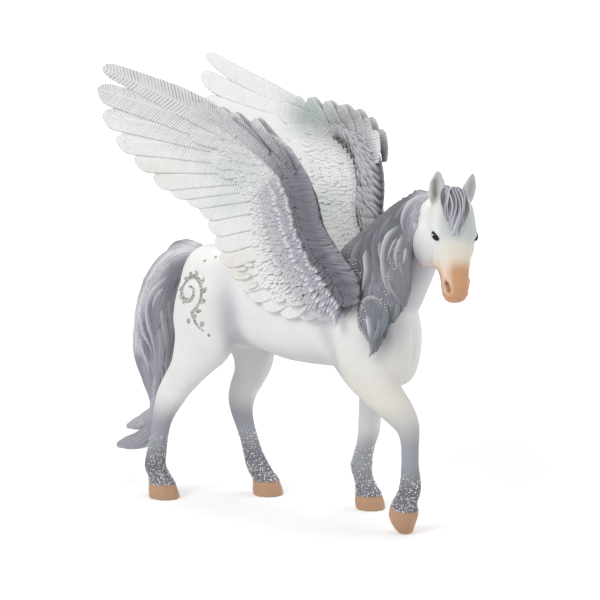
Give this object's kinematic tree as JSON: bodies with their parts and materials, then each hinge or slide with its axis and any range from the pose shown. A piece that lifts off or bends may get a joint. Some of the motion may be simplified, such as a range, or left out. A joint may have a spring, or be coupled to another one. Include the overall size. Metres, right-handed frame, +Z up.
{
  "type": "winged horse figurine",
  "caption": "Standing winged horse figurine in moulded plastic, one foreleg stepping, wings raised, long mane and tail.",
  "frame": {"origin": "middle of the box around the figurine, at the ground under the hooves", "axes": "+X the way the horse faces, +Y its left side, +Z up"},
  "size_m": [0.1452, 0.0516, 0.1371],
  "materials": {
    "horse_plastic": "satin paint, white with grey-lilac hair and lower legs",
    "wing_plastic": "satin paint, white feathers shaded to grey-lilac along the arm"
  },
  "bodies": {
    "root": {"horse": "horse_plastic", "right_wing": "wing_plastic", "left_wing": "wing_plastic"}
  },
  "joints": []
}
